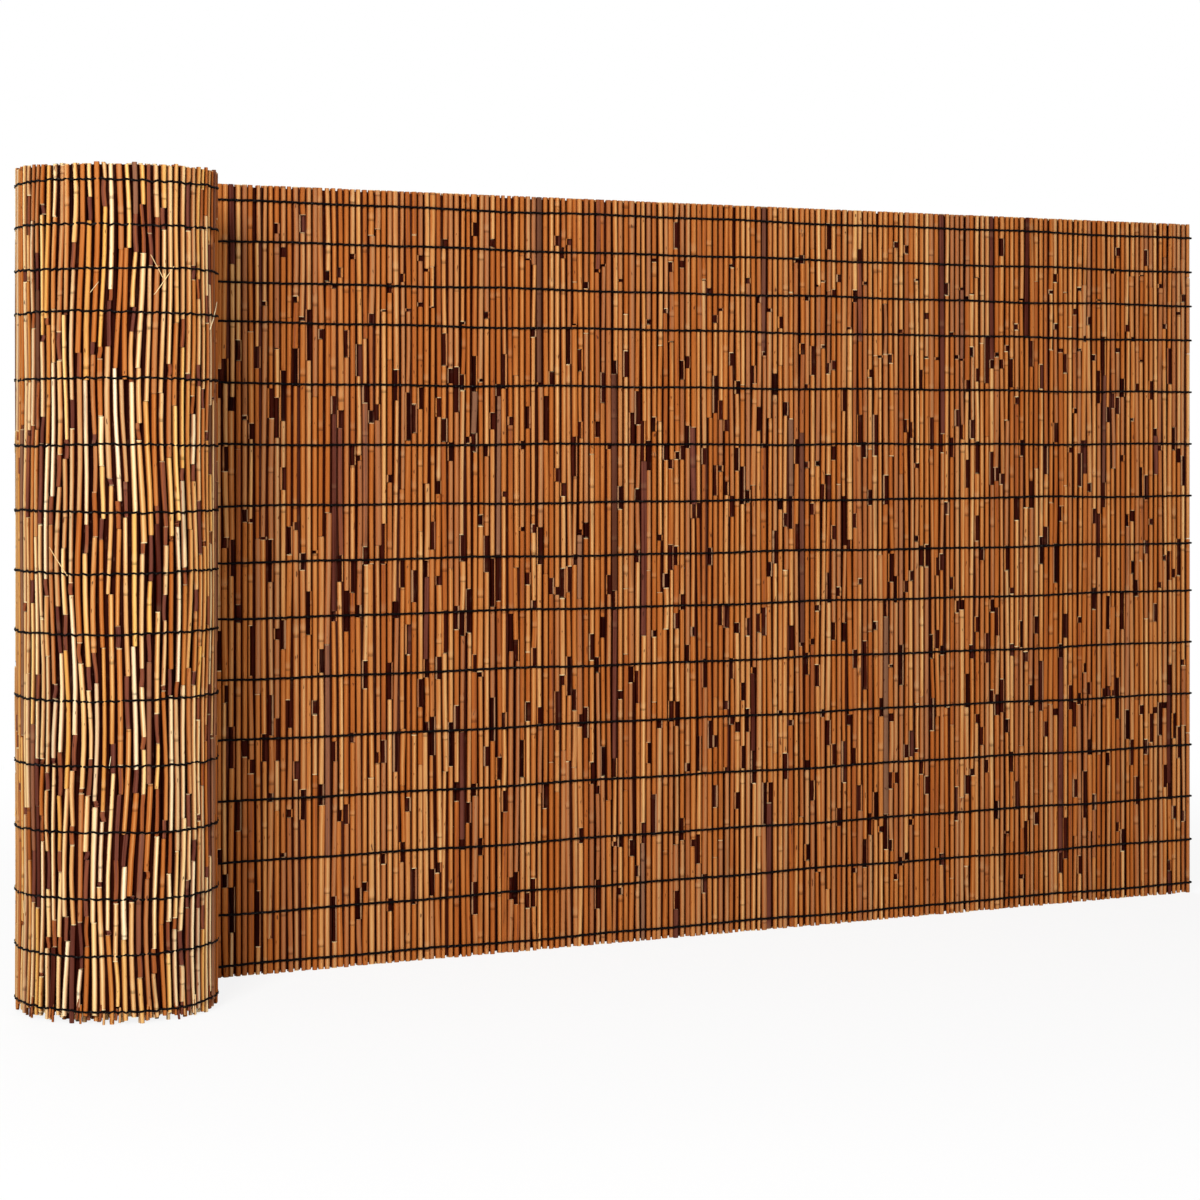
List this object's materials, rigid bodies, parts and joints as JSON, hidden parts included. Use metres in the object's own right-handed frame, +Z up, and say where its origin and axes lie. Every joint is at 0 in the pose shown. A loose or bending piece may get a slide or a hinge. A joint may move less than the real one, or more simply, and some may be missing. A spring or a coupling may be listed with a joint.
{
  "type": "reed screen",
  "caption": "Natural reed fence screen standing on its cut ends, one end still rolled up and the rest a free flat panel, bound by rows of black wire; for privacy, shade and wind cover.",
  "frame": {"origin": "on the floor, below the middle of the overall box", "axes": "+X along the free panel, away from the roll; +Y out of the panel's back; +Z up along the reeds"},
  "size_m": [1.837, 0.249, 1],
  "materials": {
    "reed": "natural dried reed, satin",
    "wire": "black coated, satin"
  },
  "bodies": {
    "root": {"reed_mat": "reed", "binding_wire_01": "wire", "binding_wire_02": "wire", "binding_wire_03": "wire", "binding_wire_04": "wire", "binding_wire_05": "wire", "binding_wire_06": "wire", "binding_wire_07": "wire", "binding_wire_08": "wire", "binding_wire_09": "wire", "binding_wire_10": "wire", "binding_wire_11": "wire", "binding_wire_12": "wire", "binding_wire_13": "wire", "binding_wire_14": "wire", "binding_wire_15": "wire"}
  },
  "joints": []
}
